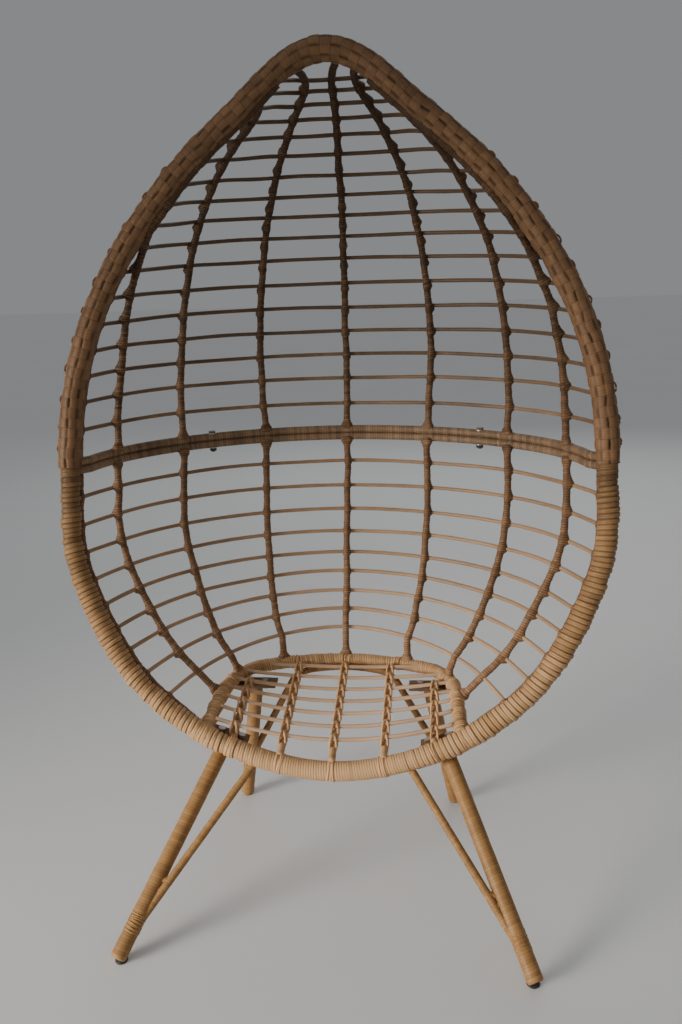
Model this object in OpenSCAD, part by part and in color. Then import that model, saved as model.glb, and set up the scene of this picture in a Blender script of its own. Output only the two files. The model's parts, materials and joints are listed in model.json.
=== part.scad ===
// Free-standing egg chair in wrapped rattan: a two-part openwork shell with ribs and rungs,
// a slatted seat and four splayed legs. Millimetres, +Z up, the open side faces -Y.

/* [Shell] */
// Height of the plane where the upper shell is bolted on the lower one
split_height = 756; // [720:1:800]
// Height of the centre from which the rim outline is measured
rim_centre_height = 728; // [700:1:760]
// Backward lean of the rim at the split, in degrees
rim_lean = 11.9; // [6:0.1:16]
// Forward curl of the rim's two ends, in millimetres for each square decimetre
rim_curl = 0.72; // [0:0.01:1.5]
// Depth of the shell behind the rim at the split
shell_depth = 315; // [260:1:360]
// How much the shell narrows in depth toward the seat
seat_draw = 157; // [100:1:200]
// Height where the dome starts to close
dome_start = 884; // [820:1:940]
// Height where the dome is closed
dome_top = 1440; // [1420:1:1460]
// Roundness of the dome's profile
dome_power = 2.6; // [2:0.1:3.5]
// Roundness of the horizontal section at the split
section_power = 1.89; // [1.6:0.01:2.6]

/* [Tubes] */
// Radius of the woven upper rim tube
upper_rim_radius = 20; // [16:0.5:24]
// Radius of the wrapped lower rim tube
lower_rim_radius = 17; // [14:0.5:22]
// Distance from the rim's centre line in to the edge of the ribbed shell
shell_inset = 24; // [20:0.5:30]
// How far the side rods run outside that edge
side_rod_shift = 14; // [8:0.5:16]
// How far the side rods run behind the rim's centre line
side_rod_setback = 22; // [20:0.5:28]
// Radius of the rods that run beside the rim
side_rod_radius = 4.8; // [3:0.1:7]
// Radius of the two bolted middle rails
rail_radius = 7.6; // [6:0.1:9]
// Radius of a rib
rib_radius = 6.6; // [4:0.1:8]
// Radius of a rung
rung_radius = 3.4; // [2.5:0.1:5]
// Radius of the seat frame tube
seat_frame_radius = 12; // [9:0.5:15]
// Radius of a seat slat
slat_radius = 6.5; // [4:0.1:9]
// Radius of a seat rod
seat_rod_radius = 3.6; // [2.5:0.1:5]

/* [Seat] */
// Height of the seat frame's centre line
seat_height = 314; // [290:1:340]
// How much lower the seat is at the middle of its front edge
seat_sag = 60; // [30:1:80]
// How far the seat frame's sides fall to the rim at their front ends
corner_drop = 17; // [0:1:24]
// Front-to-back distance between two seat rods
seat_rod_pitch = 34; // [28:0.5:40]

/* [Legs] */
// Radius of a wrapped leg
leg_radius = 13.5; // [10:0.5:18]
// Radius of the brace on a leg
brace_radius = 6.8; // [5:0.1:9]
// Height where a front brace runs into its leg
front_brace_joint = 52; // [40:1:110]
// Height where a rear brace runs into its leg
rear_brace_joint = 96; // [70:1:130]
// Thickness of a mounting plate
plate_thickness = 3; // [2:0.5:5]
// Distance from a leg's top centre to each of its two bolts
bolt_offset = 19; // [17:0.5:26]
// Slope of the front mounting plates down toward the middle, in degrees
front_plate_tilt = 18; // [0:1:25]
// Height of the flat disc of a foot glide
glide_height = 4; // [3:0.5:10]
// Radius of the flat disc of a foot glide
glide_radius = 11; // [9:0.5:13]

/* [Hidden] */

// Radius of the rim outline at each 15 degrees, from straight down to straight up.
rim_radii = [495, 493, 494, 495, 487, 484, 472, 481, 501, 529, 569, 627, 707];
rim_angle_step = 15;

// Half height of the shell, the unit in which its curves are written.
shell_unit = 624;
apex_level = 1.09;

// Heights of the rungs where they meet the side rods.
upper_rung_heights = [
    816, 867, 912, 957, 1002, 1046, 1090, 1130, 1166, 1200, 1233, 1268, 1299, 1326, 1350, 1373, 1393
];
lower_rung_heights = [697, 647, 597, 550, 505, 464, 424, 384, 346];

// Each rib's angle round the section at the split, its turn toward the rim above and below it,
// and the height where its upper part ends: outer, second, third and centre rib.
rib_angles = [70.8, 47.5, 23.3, 0];
rib_turns_above = [60.6, 27.2, 3.9, 0];
rib_turns_below = [-8.7, 7.9, 13.1, 0];
rib_tops = [1384, 1350, 1398, 1412];
// Places on the seat frame where the lower ribs end, in the same order.
rib_seats = [[226, -8], [204, 74], [126, 136], [0, 152]];
// Heights where the lower ribs leave the shell's surface for the seat frame.
rib_feet = [352, 348, 344, 344];

// Left half of the seat frame, from its front corner to the middle of its back.
seat_frame_route = [[228, -112], [222, -30], [218, 35], [204, 74], [172, 112], [90, 140], [0, 152]];
slat_places = [0, 92, 180];
seat_back = 150;
seat_front = -129;
seat_rod_first = -90;
seat_rod_count = 7;
seat_half_width = 222;

// Places of the legs on the right-hand side, front and rear: the middle of the mounting plates,
// the bend just below them, the lower end, the glide on the floor and the top of the brace.
leg_tops = [[190, -86, 270], [172, 70, 296]];
leg_bends = [[200, -87, 257], [174, 72, 282]];
leg_ends = [[334, -340.4, 13.5], [222, 137, 8]];
glide_places = [[332.5, -337, 0], [221.5, 136.5, 0]];
brace_tops = [[140, -128, 240], [104, 112, 288]];
// Braces, front and rear: how far inside the leg's axis they end, where their webs start on the
// leg, and how far up the brace the webs reach.
brace_joints = [front_brace_joint, rear_brace_joint];
brace_insets = [8, 0];
web_starts = [64, 72];
web_shares = [0.1, 0.16];

rail_bolt_angle = 38.5;
bolt_radius = 4;
washer_radius = 8;
washer_thickness = 1.6;
nut_radius = 7;
nut_height = 6;

rod_sides = 6;
rib_sides = 8;
rim_sides = 12;
round_segments = 48;

function unit(v) = v / norm(v);
function limit(value, low, high) = max(low, min(high, value));

// Smooth curve through four neighbouring values or points, used between the middle two.
function blend(a, b, c, d, t) =
    0.5 * (2 * b + (c - a) * t + (2 * a - 5 * b + 4 * c - d) * t * t
        + (3 * b - a - 3 * c + d) * t * t * t);
function smooth(route, steps) = [
    for (i = [0 : len(route) - 2], s = [0 : steps - 1])
        blend(route[max(i - 1, 0)], route[i], route[i + 1], route[min(i + 2, len(route) - 1)],
            s / steps),
    route[len(route) - 1]
];

// Rim outline: radius from the rim centre at an angle above the horizontal.
function rim_station(i) =
    i < 0 ? rim_radii[-i]
    : i < len(rim_radii) ? rim_radii[i]
    : rim_radii[2 * (len(rim_radii) - 1) - i];
function rim_radius(angle) =
    let (place = (angle + 90) / rim_angle_step, i = min(floor(place), len(rim_radii) - 2))
    blend(rim_station(i - 1), rim_station(i), rim_station(i + 1), rim_station(i + 2), place - i);
rim_table = [
    for (angle = [-90 : 2.5 : 90])
        [rim_centre_height + rim_radius(angle) * sin(angle), rim_radius(angle) * cos(angle)]
];
split_angle = asin((split_height - rim_centre_height) / rim_radius(3));

// Place of the rim's plane in Y at a height.
function lean(z) =
    let (up = z - split_height)
    tan(rim_lean) * up - rim_curl * up * up / 10000;
function half_width(z) = lookup(z, rim_table);
function rim_point(angle, side) =
    let (r = rim_radius(angle), z = rim_centre_height + r * sin(angle))
    [side * r * cos(angle), lean(z), z];

// The shell's surface: level is 0 at the split, -1 and 1 near the bottom and the top.
function level(z) = (z - split_height) / shell_unit;
function back_lift(z) =
    let (v = level(z))
    v > 0 ? 56 * v * v * (1 - pow(min(v / apex_level, 1), 6)) : 75 * v * v;
function power(z) =
    let (v = level(z))
    section_power + (v > 0 ? 0.71 : 0.2) * v;
function depth(z) =
    let (v = level(z), rise = limit((z - dome_start) / (dome_top - dome_start), 0, 0.9999))
    (shell_depth - (v > 0 ? 0.078 * (z - split_height) : seat_draw * v * v))
        * pow(1 - pow(rise, dome_power), 1 / dome_power);
// Point at a rim height and an angle round the section, 0 at the back and 90 at the rim.
function shell_point(z, angle, outset, side) =
    let (
        back_z = z + back_lift(z),
        width = max(half_width(z) - shell_inset + outset, 0),
        rim_y = lean(z),
        back_y = lean(back_z) + depth(back_z) + outset,
        across = pow(max(sin(angle), 0), 2 / power(z)),
        behind = pow(max(cos(angle), 0), 2 / power(z))
    )
    [side * width * across, rim_y + (back_y - rim_y) * behind, z + (back_z - z) * behind];
// Line of the side rods, behind the rim and outside the shell's edge.
function rod_point(z, side) =
    shell_point(z, 90, 0, side) + [side * side_rod_shift, side_rod_setback, 0];

// Tube swept along a path: rings of points joined by triangles.
function path_tangent(path, i) =
    unit(path[min(i + 1, len(path) - 1)] - path[max(i - 1, 0)]);
function ring(centre, along, reference, radius, sides) =
    let (across = unit(cross(reference, along)), upward = cross(along, across))
    [
        for (k = [0 : sides - 1])
            let (angle = 360 * k / sides)
            centre + radius * (cos(angle) * across + sin(angle) * upward)
    ];
module swept_tube(path, radius, sides, reference, end_direction = undef) {
    count = len(path);
    points = [
        for (i = [0 : count - 1])
            let (
                at_end = i == 0 || i == count - 1,
                own = path_tangent(path, i),
                facing = end_direction == undef ? own : end_direction * sign(own * end_direction),
                along = at_end ? facing : own
            )
            each ring(path[i], along, reference, radius, sides)
    ];
    walls = [
        for (i = [0 : count - 2], k = [0 : sides - 1])
            let (a = i * sides + k, b = i * sides + (k + 1) % sides)
            each [[a, b + sides, b], [a, a + sides, b + sides]]
    ];
    last = (count - 1) * sides;
    start_cap = [for (k = [1 : sides - 2]) [0, k, k + 1]];
    end_cap = [for (k = [1 : sides - 2]) [last, last + k + 1, last + k]];
    polyhedron(points, concat(walls, start_cap, end_cap));
}

// Straight round bar between two points.
module bar(start, finish, radius) {
    run = finish - start;
    translate(start)
        rotate([0, acos(run[2] / norm(run)), atan2(run[1], run[0])])
            cylinder(h = norm(run), r = radius, $fn = round_segments);
}

module upper_rim() {
    steps = 26;
    span = 90 - split_angle;
    right = [for (i = [0 : steps]) rim_point(split_angle + span * i / steps, 1)];
    left = [for (i = [steps - 1 : -1 : 0]) rim_point(split_angle + span * i / steps, -1)];
    color("peru")
        swept_tube(concat(right, left), upper_rim_radius, rim_sides, [0, 1, 0], [0, 0, 1]);
}

module lower_rim() {
    steps = 26;
    span = 90 + split_angle;
    right = [for (i = [0 : steps]) rim_point(split_angle - span * i / steps, 1)];
    left = [for (i = [steps - 1 : -1 : 0]) rim_point(split_angle - span * i / steps, -1)];
    color("peru")
        swept_tube(concat(right, left), lower_rim_radius, rim_sides, [0, 1, 0], [0, 0, 1]);
}

// Path round a section, which bends out to the side rods where it reaches them.
bend_angle = 66;
function round_path(z, outset, steps, side_stop) = [
    for (i = [-steps : steps])
        let (
            angle = side_stop * abs(i) / steps,
            side = i < 0 ? -1 : 1,
            spread = outset * min(1, 3 * cos(angle)),
            share = side_stop < 90 ? 0 : pow(max(0, (angle - bend_angle) / (90 - bend_angle)), 2)
        )
        shell_point(z, angle, spread, side) + share * [side * side_rod_shift, side_rod_setback, 0]
];
function rail_path(z) =
    let (
        middle = round_path(split_height, 0, 15, 84),
        end = [half_width(split_height) - 8, lean(split_height) + 6]
    )
    [
        [-end[0], end[1], z],
        for (p = middle) [p[0], p[1], z],
        [end[0], end[1], z]
    ];
module upper_mid_rail() {
    color("tan")
        swept_tube(rail_path(split_height + rail_radius), rail_radius, rib_sides, [0, 0, 1]);
}
module lower_mid_rail() {
    color("tan")
        swept_tube(rail_path(split_height - rail_radius), rail_radius, rib_sides, [0, 0, 1]);
}

// Ribs are numbered 1 to 7 from the left-hand side; 4 is the centre rib.
function rib_kind(number) = number < 5 ? number - 1 : 7 - number;
function rib_side(number) = number < 4 ? -1 : 1;
function rib_angle(kind, z) =
    let (
        v = level(z),
        turn = v > 0 ? rib_turns_above[kind] * pow(v, 2.6) : rib_turns_below[kind] * v * v
    )
    min(90, rib_angles[kind] + turn);
rib_outset = -4;
module upper_rib(number) {
    kind = rib_kind(number);
    side = rib_side(number);
    start = split_height + rail_radius;
    top = rib_tops[kind];
    steps = 16;
    path = [
        for (i = [0 : steps])
            let (z = start + (top - start) * sin(90 * i / steps))
            shell_point(z, rib_angle(kind, z), rib_outset, side)
    ];
    end_z = top + 14;
    end = [side * max(half_width(end_z) - 12, 0), lean(end_z) + 6, end_z];
    color("sienna")
        swept_tube(kind == 0 ? path : concat(path, [end]), rib_radius, rib_sides, [1, 0, 0]);
}
module lower_rib(number) {
    kind = rib_kind(number);
    side = rib_side(number);
    top = split_height - rail_radius;
    bottom = rib_feet[kind];
    steps = 13;
    path = [
        for (i = [0 : steps])
            let (z = bottom + (top - bottom) * i / steps)
            shell_point(z, rib_angle(kind, z), rib_outset, side)
    ];
    seat = [side * rib_seats[kind][0], rib_seats[kind][1], seat_height];
    color("sienna")
        swept_tube(concat([seat], path), rib_radius, rib_sides, [1, 0, 0]);
}

// Rods that run beside the rim and take the ends of the rungs.
module upper_side_rod(side) {
    steps = 20;
    start = split_height + 2;
    top = 1398;
    path = [
        for (i = [0 : steps])
            rod_point(start + (top - start) * sin(90 * i / steps), side)
    ];
    color("tan")
        swept_tube(path, side_rod_radius, rod_sides, [0, 1, 0]);
}
module lower_side_rod(side) {
    steps = 14;
    start = split_height - 2;
    bottom = 352;
    path = [
        for (i = [0 : steps])
            rod_point(start + (bottom - start) * sin(90 * i / steps), side)
    ];
    corner = seat_frame_route[0];
    end = [side * corner[0], corner[1] + 4, seat_height - corner_drop + 4];
    color("tan")
        swept_tube(concat(path, [end]), side_rod_radius, rod_sides, [0, 1, 0]);
}

rung_outset = 4;
module rungs(heights, first, last) {
    color("tan")
        for (i = [first : last])
            swept_tube(round_path(heights[i], rung_outset, 11, 90), rung_radius, rod_sides, [0, 0, 1]);
}

// Seat: a U-shaped frame closed by the lower rim, slats on it and bowed rods over them.
drop_start = -30;
drop_end = seat_frame_route[0][1];
function side_drop(y) = corner_drop * pow(max(0, (drop_start - y) / (drop_start - drop_end)), 1.3);
module seat_frame() {
    left = [for (p = seat_frame_route) [-p[0], p[1], seat_height - side_drop(p[1])]];
    right = [for (i = [len(left) - 2 : -1 : 0]) [-left[i][0], left[i][1], left[i][2]]];
    color("peru")
        swept_tube(smooth(concat(left, right), 3), seat_frame_radius, rim_sides, [0, 0, 1]);
}
function seat_level(x, y) =
    let (side = pow(x / seat_half_width, 2))
    seat_height - side_drop(y) * side - seat_sag * (seat_back - y) / (seat_back - seat_front) * (1 - side);
module seat_slats() {
    fronts = [[252, seat_front], [259, -127], [279, -112]];
    backs = [150, 136, 62];
    color("peru")
        for (side = [-1, 1], i = [side < 0 ? 1 : 0 : 2])
            bar([side * slat_places[i], fronts[i][1], fronts[i][0]],
                [side * slat_places[i], backs[i], seat_height - 2], slat_radius);
}
module seat_rods(first, last) {
    steps = 6;
    lift = slat_radius + seat_rod_radius - 1;
    color("tan")
        for (row = [first : last]) {
            y = seat_rod_first + row * seat_rod_pitch;
            reach = seat_half_width - (row < 5 ? 8 : row < 6 ? 22 : 46);
            path = [
                for (i = [-steps : steps])
                    let (x = reach * i / steps)
                    [x, y, seat_level(x, y) + lift]
            ];
            swept_tube(path, seat_rod_radius, rod_sides, [0, 0, 1]);
        }
}
// Bent bar under the back of the seat that the rear braces are fixed to.
module rear_arch() {
    route = [[104, 112, 288], [80, 128, 298], [40, 138, 301], [0, 141, 302]];
    left = [for (p = route) [-p[0], p[1], p[2]]];
    right = [for (i = [len(left) - 2 : -1 : 0]) [-left[i][0], left[i][1], left[i][2]]];
    color("peru")
        swept_tube(smooth(concat(left, right), 2), brace_radius, rib_sides, [0, 0, 1]);
}

// Legs and braces; row 0 is the front and row 1 the rear.
plate_tilts = [front_plate_tilt, 0];
plate_sizes = [[68, 30], [82, 34]];
function placed(p, side) = [side * p[0], p[1], p[2]];
function plate_normal(row) = [-sin(plate_tilts[row]), 0, cos(plate_tilts[row])];
function leg_point(row, z) =
    let (top = leg_bends[row], end = leg_ends[row])
    end + (top - end) * (z - end[2]) / (top[2] - end[2]);
// Places its children on a leg's top, turned as the mounting plates are.
module at_leg_top(row, side) {
    translate(placed(leg_tops[row], side))
        rotate([0, -side * plate_tilts[row], 0])
            children();
}
module leg(row, side) {
    top = leg_tops[row];
    collar = 3;
    path = [leg_ends[row], leg_bends[row], top - collar * plate_normal(row), top];
    color("goldenrod")
        swept_tube([for (p = path) placed(p, side)], leg_radius, rim_sides, [0, 1, 0]);
}
// Round brace with the narrow wrapped web that joins it to the leg's lower part.
module brace(row, side) {
    joint = leg_point(row, brace_joints[row]) - [brace_insets[row], 0, 0];
    web_start = leg_point(row, web_starts[row]);
    top = brace_tops[row];
    run = top - joint;
    web_radius = brace_radius - 1;
    color("goldenrod") {
        bar(placed(joint, side), placed(top, side), brace_radius);
        bar(placed(web_start, side), placed(joint + run * web_shares[row], side), web_radius);
    }
}
module plate(row, side, bottom) {
    size = plate_sizes[row];
    at_leg_top(row, side)
        difference() {
            translate([-size[0] / 2, -size[1] / 2, bottom])
                cube([size[0], size[1], plate_thickness]);
            for (offset = [-bolt_offset, bolt_offset])
                translate([offset, 0, bottom - 1])
                    cylinder(h = plate_thickness + 2, r = bolt_radius, $fn = round_segments);
        }
}
module leg_plate(row, side) {
    color("dimgray")
        plate(row, side, 0);
}
module seat_plates() {
    color("dimgray")
        for (row = [0, 1], side = [-1, 1])
            plate(row, side, plate_thickness);
}
// Flat disc on the floor with a stem that plugs into the leg's lower end.
module glide(row, side) {
    stem_radius = glide_radius - 1.5;
    stem_reach = 2;
    color("black")
        translate(placed(glide_places[row], side)) {
            cylinder(h = glide_height, r = glide_radius, $fn = round_segments);
            cylinder(h = leg_ends[row][2] + stem_reach, r = stem_radius, $fn = round_segments);
        }
}

// Bolts that hold the legs: head and washer above the seat plate, nut under the leg plate.
module at_leg_bolts() {
    for (row = [0, 1], side = [-1, 1], offset = [-bolt_offset, bolt_offset])
        at_leg_top(row, side)
            translate([offset, 0, 0])
                children();
}
leg_grip = 2 * plate_thickness;
module leg_bolts() {
    color("silver")
        at_leg_bolts() {
            translate([0, 0, -nut_height - 3])
                cylinder(h = leg_grip + nut_height + 3 + washer_thickness + 1, r = bolt_radius - 0.2,
                    $fn = round_segments);
            translate([0, 0, leg_grip + washer_thickness])
                cylinder(h = 5, r = nut_radius, $fn = 6);
        }
}
module leg_washers() {
    color("silver")
        at_leg_bolts()
            translate([0, 0, leg_grip])
                difference() {
                    cylinder(h = washer_thickness, r = washer_radius, $fn = round_segments);
                    translate([0, 0, -1])
                        cylinder(h = washer_thickness + 2, r = bolt_radius, $fn = round_segments);
                }
}
module leg_nuts() {
    color("silver")
        at_leg_bolts()
            translate([0, 0, -nut_height])
                difference() {
                    cylinder(h = nut_height, r = nut_radius, $fn = 6);
                    translate([0, 0, -1])
                        cylinder(h = nut_height + 2, r = bolt_radius, $fn = round_segments);
                }
}

// Bolts that clamp the two middle rails together behind the second and third ribs.
rail_bolt_point = shell_point(split_height, rail_bolt_angle, 0, 1);
module at_rail_bolts() {
    for (side = [-1, 1])
        translate([side * rail_bolt_point[0], rail_bolt_point[1], split_height])
            children();
}
rail_grip = 2 * rail_radius;
module rail_bolts() {
    color("dimgray")
        at_rail_bolts() {
            translate([0, 0, -rail_grip - nut_height - 2])
                cylinder(h = 2 * rail_grip + nut_height + 3, r = bolt_radius - 0.2,
                    $fn = round_segments);
            translate([0, 0, rail_grip])
                cylinder(h = 4, r = nut_radius, $fn = 6);
        }
}
module rail_washers() {
    color("silver")
        at_rail_bolts()
            for (place = [rail_grip - washer_thickness, -rail_grip])
                translate([0, 0, place])
                    difference() {
                        cylinder(h = washer_thickness, r = washer_radius, $fn = round_segments);
                        translate([0, 0, -1])
                            cylinder(h = washer_thickness + 2, r = bolt_radius,
                                $fn = round_segments);
                    }
}
module rail_nuts() {
    color("black")
        at_rail_bolts()
            translate([0, 0, -rail_grip - nut_height])
                difference() {
                    cylinder(h = nut_height, r = nut_radius, $fn = 6);
                    translate([0, 0, -1])
                        cylinder(h = nut_height + 2, r = bolt_radius, $fn = round_segments);
                }
}

upper_rim();
lower_rim();
upper_mid_rail();
lower_mid_rail();
upper_rib(1);  // upper_rib_1
upper_rib(2);  // upper_rib_2
upper_rib(3);  // upper_rib_3
upper_rib(4);  // upper_rib_4
upper_rib(5);  // upper_rib_5
upper_rib(6);  // upper_rib_6
upper_rib(7);  // upper_rib_7
lower_rib(1);  // lower_rib_1
lower_rib(2);  // lower_rib_2
lower_rib(3);  // lower_rib_3
lower_rib(4);  // lower_rib_4
lower_rib(5);  // lower_rib_5
lower_rib(6);  // lower_rib_6
lower_rib(7);  // lower_rib_7
upper_side_rod(-1);  // upper_side_rod_left
upper_side_rod(1);  // upper_side_rod_right
lower_side_rod(-1);  // lower_side_rod_left
lower_side_rod(1);  // lower_side_rod_right
rungs(upper_rung_heights, 0, 3);  // upper_rungs_a
rungs(upper_rung_heights, 4, 7);  // upper_rungs_b
rungs(upper_rung_heights, 8, 10);  // upper_rungs_c
rungs(upper_rung_heights, 11, 13);  // upper_rungs_d
rungs(upper_rung_heights, 14, 16);  // upper_rungs_e
rungs(lower_rung_heights, 0, 2);  // lower_rungs_a
rungs(lower_rung_heights, 3, 5);  // lower_rungs_b
rungs(lower_rung_heights, 6, 8);  // lower_rungs_c
seat_frame();
seat_slats();
seat_rods(0, 3);  // seat_rods_front
seat_rods(4, 6);  // seat_rods_back
seat_plates();
rear_arch();
leg(0, -1);  // front_left_leg
leg(0, 1);  // front_right_leg
leg(1, -1);  // rear_left_leg
leg(1, 1);  // rear_right_leg
brace(0, -1);  // front_left_brace
brace(0, 1);  // front_right_brace
brace(1, -1);  // rear_left_brace
brace(1, 1);  // rear_right_brace
leg_plate(0, -1);  // front_left_plate
leg_plate(0, 1);  // front_right_plate
leg_plate(1, -1);  // rear_left_plate
leg_plate(1, 1);  // rear_right_plate
glide(0, -1);  // front_left_glide
glide(0, 1);  // front_right_glide
glide(1, -1);  // rear_left_glide
glide(1, 1);  // rear_right_glide
leg_bolts();
leg_washers();
leg_nuts();
rail_bolts();
rail_washers();
rail_nuts();
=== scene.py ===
import json
import math

import bmesh
import bpy
import numpy as np
from bpy.props import FloatProperty, FloatVectorProperty, IntProperty, PointerProperty
from mathutils import Matrix, Vector


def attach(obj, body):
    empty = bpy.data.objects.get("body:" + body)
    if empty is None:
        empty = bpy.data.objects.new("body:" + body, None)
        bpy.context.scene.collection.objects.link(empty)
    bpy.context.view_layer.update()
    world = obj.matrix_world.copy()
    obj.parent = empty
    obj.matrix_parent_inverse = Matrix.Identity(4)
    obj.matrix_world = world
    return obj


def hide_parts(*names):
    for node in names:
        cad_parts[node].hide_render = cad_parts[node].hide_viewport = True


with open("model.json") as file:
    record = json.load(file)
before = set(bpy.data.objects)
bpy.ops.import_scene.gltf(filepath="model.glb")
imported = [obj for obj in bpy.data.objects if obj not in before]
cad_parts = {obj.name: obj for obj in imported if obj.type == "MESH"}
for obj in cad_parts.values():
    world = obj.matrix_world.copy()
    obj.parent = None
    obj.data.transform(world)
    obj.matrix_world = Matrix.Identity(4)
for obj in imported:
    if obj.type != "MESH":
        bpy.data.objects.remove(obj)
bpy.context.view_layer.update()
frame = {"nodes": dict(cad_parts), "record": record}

bl_info = {
    "name": "Egg Chair",
    "version": (1, 0, 0),
    "blender": (4, 5, 0),
    "location": "View3D > Sidebar > Egg Chair",
    "description": "Makes a standing egg chair in wound and woven strand, piece by piece",
    "category": "Add Mesh",
}

MM = 0.001
BODY = "root"
FULL_TURN = 2.0 * math.pi
TOP = math.pi / 2


# ---------------- lines of the chair
# All in millimetres, as the solids have them.

SPLIT_HEIGHT = 756.0
RIM_CENTRE_HEIGHT = 728.0
RIM_LEAN = math.tan(math.radians(11.9))
RIM_CURL = 0.72
RIM_RADII = np.array([495, 493, 494, 495, 487, 484, 472, 481, 501, 529, 569, 627, 707], float)
RIM_STEP = 15.0
SPLIT_RADIUS = 495.0
SPLIT_ANGLE = math.degrees(math.asin((SPLIT_HEIGHT - RIM_CENTRE_HEIGHT) / SPLIT_RADIUS))
SHELL_UNIT = 624.0
SHELL_DEPTH = 315.0
DRAW_ABOVE = 0.078
DRAW_BELOW = 157.0
LIFT_ABOVE = 56.0
LIFT_BELOW = 75.0
APEX_LEVEL = 1.09
DOME_START = 884.0
DOME_TOP = 1440.0
DOME_POWER = 2.6
SECTION_POWER = 1.89
POWER_ABOVE = 0.71
POWER_BELOW = 0.2
SHELL_INSET = 24.0
ROD_SHIFT = (14.0, 22.0, 0.0)
ROD_BEND = 66.0
ROD_TOP = 1396.0
ROD_FOOT = 354.0

UPPER_RIM_RADIUS = 20.0
LOWER_RIM_RADIUS = 17.0
RAIL_RADIUS = 7.6
RIB_RADIUS = 6.6
RUNG_RADIUS = 3.4
SIDE_ROD_RADIUS = 4.8
SEAT_FRAME_RADIUS = 12.0
SLAT_RADIUS = 6.5
SEAT_ROD_RADIUS = 3.6
LEG_RADIUS = 13.5
BRACE_RADIUS = 6.8

RUNGS = {
    "upper": {
        "a": (816, 867, 912, 957), "b": (1002, 1046, 1090, 1130), "c": (1166, 1200, 1233),
        "d": (1268, 1299, 1326), "e": (1350, 1373, 1393),
    },
    "lower": {"a": (697, 647, 597), "b": (550, 505, 464), "c": (424, 384, 346)},
}
RUNG_HEIGHTS = {part: sorted(sum(groups.values(), ())) for part, groups in RUNGS.items()}

RIB_ANGLES = (70.8, 47.5, 23.3, 0.0)
RIB_TURNS_ABOVE = (60.6, 27.2, 3.9, 0.0)
RIB_TURNS_BELOW = (-8.7, 7.9, 13.1, 0.0)
RIB_TOPS = (1384, 1350, 1398, 1412)
RIB_SEATS = ((226, -8), (204, 74), (126, 136), (0, 152))
RIB_FEET = (352, 348, 344, 344)
RIB_OUTSET = -4.0
RUNG_OUTSET = 4.0

SEAT_HEIGHT = 314.0
SEAT_SAG = 60.0
SEAT_BACK = 150.0
SEAT_FRONT = -129.0
SEAT_HALF_WIDTH = 222.0
SEAT_ROUTE = ((228, -112), (222, -30), (218, 35), (204, 74), (172, 112), (90, 140), (0, 152))
SEAT_ROD_PLACES = (-90.0, -56.0, -22.0, 12.0, 46.0, 80.0, 114.0)
SEAT_ROD_INSETS = (8, 8, 8, 8, 8, 22, 46)
CORNER_DROP = 17.0
DROP_START = -30.0
DROP_POWER = 1.3
SLATS = (
    ((0, -129, 252), (0, 150, 312)),
    ((92, -127, 259), (92, 136, 312)),
    ((180, -112, 279), (180, 62, 312)),
)
ARCH_ROUTE = ((104, 112, 288), (80, 128, 298), (40, 138, 301), (0, 141, 302))

LEGS = {
    "front": {
        "top": (190, -86, 270), "normal": (-0.309, 0, 0.951), "bend": (200, -87, 257),
        "end": (334, -340.4, 13.5), "brace": (140, -128, 240), "joint": 52, "inset": 8,
        "webs": ((60, 0.06), (70, 0.12), (81, 0.18), (92, 0.24)), "glide": (332.5, -337),
    },
    "rear": {
        "top": (172, 70, 296), "normal": (0, 0, 1), "bend": (174, 72, 282),
        "end": (222, 137, 8), "brace": (104, 112, 288), "joint": 96, "inset": 0,
        "webs": ((72, 0.08), (84, 0.14), (96, 0.2)), "glide": (221.5, 136.5),
    },
}
SIDES = {"left": -1, "right": 1}
GLIDE_PROFILE = (
    (0, 0), (9.2, 0), (10.4, 0.8), (10.6, 1.8), (10.0, 2.9), (7.4, 3.5), (5.6, 5.0),
    (5.2, 9.0), (4.2, 10.0), (0, 10.0),
)


def unit(vectors):
    """Vectors of length one."""
    return vectors / np.maximum(np.linalg.norm(vectors, axis=-1, keepdims=True), 1e-9)


def clamp(values):
    """Values held between 0 and 1."""
    return np.clip(values, 0, 1)


def blend(a, b, c, d, t):
    """Smooth curve through four neighbours, used between the middle two."""
    return 0.5 * (
        2 * b + (c - a) * t + (2 * a - 5 * b + 4 * c - d) * t**2 + (3 * b - a - 3 * c + d) * t**3
    )


def smooth_route(points, steps):
    """A smooth line through a few points."""
    points = np.asarray(points, float)
    last = len(points) - 1
    line = [
        blend(points[max(i - 1, 0)], points[i], points[i + 1], points[min(i + 2, last)], k / steps)
        for i in range(last)
        for k in range(steps)
    ]
    return np.array(line + [points[last]])


def rim_radius(angle):
    """Distance of the rim from its centre at an angle above the horizontal, in degrees."""
    place = (np.asarray(angle, float) + 90.0) / RIM_STEP
    last = len(RIM_RADII) - 1
    i = np.clip(np.floor(place).astype(int), 0, last - 1)
    around = [RIM_RADII[last - np.abs(last - np.abs(i + k))] for k in (-1, 0, 1, 2)]
    return blend(*around, place - i)


def lean(z):
    """Place of the rim's plane in Y at a height."""
    up = np.asarray(z, float) - SPLIT_HEIGHT
    return RIM_LEAN * up - RIM_CURL * up * up / 10000


def rim_point(angle, side):
    """Point of the rim's line at an angle above the horizontal, in degrees."""
    r = rim_radius(angle)
    z = RIM_CENTRE_HEIGHT + r * np.sin(np.radians(angle))
    return np.stack([side * r * np.cos(np.radians(angle)), lean(z), z], -1)


RIM_TABLE = rim_point(np.arange(-90, 90.25, 0.5), 1)


def half_width(z):
    """Half of the rim's width at a height."""
    return np.interp(z, RIM_TABLE[:, 2], RIM_TABLE[:, 0])


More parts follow.
